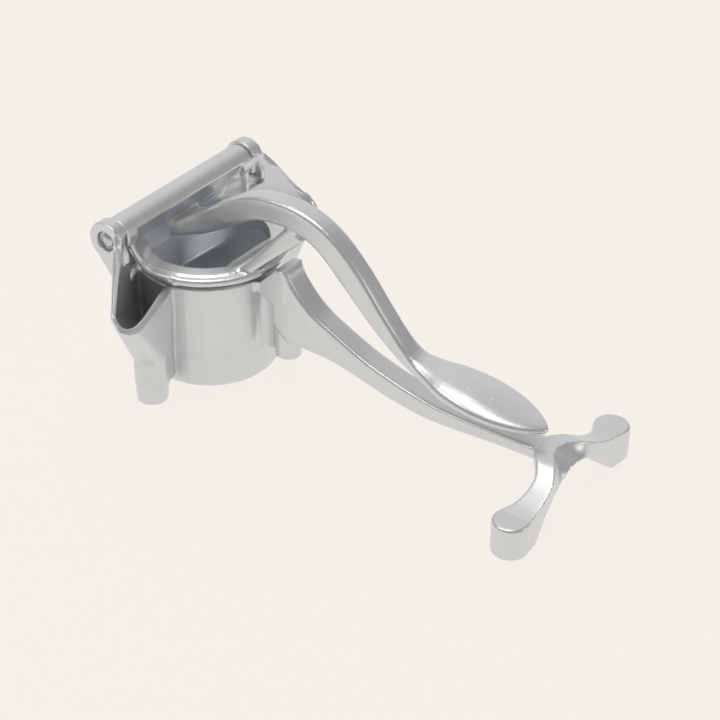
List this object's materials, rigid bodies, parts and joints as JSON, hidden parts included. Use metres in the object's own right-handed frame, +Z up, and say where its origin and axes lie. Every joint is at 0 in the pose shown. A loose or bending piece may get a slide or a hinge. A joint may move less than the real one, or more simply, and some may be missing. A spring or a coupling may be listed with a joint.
{
  "type": "lever press juicer",
  "caption": "Cast aluminium hand press for citrus, with a round cup and pouring beaks, a hinged lever with ring plunger and spoon handle, and a lift-out strainer.",
  "frame": {"origin": "on the floor, in the middle plane, halfway along the whole object", "axes": "+X from the hinge to the front foot, +Y across, along the hinge pin, +Z up"},
  "size_m": [0.2446, 0.1482, 0.103],
  "materials": {
    "cast_aluminium": "satin, tumbled casting",
    "pin_steel": "turned, bright",
    "strainer_steel": "pressed sheet, satin"
  },
  "bodies": {
    "base": {"base": "cast_aluminium", "hinge_pin": "pin_steel", "retaining_ring": "pin_steel", "strainer": "strainer_steel"},
    "lever": {"press_lever": "cast_aluminium"}
  },
  "joints": [
    {"name": "lever_hinge", "type": "hinge", "parent": "base", "child": "lever", "pos_m": [-0.1033, 0, 0.083], "axis": [0, -1, 0], "range_deg": [0, 115]}
  ]
}
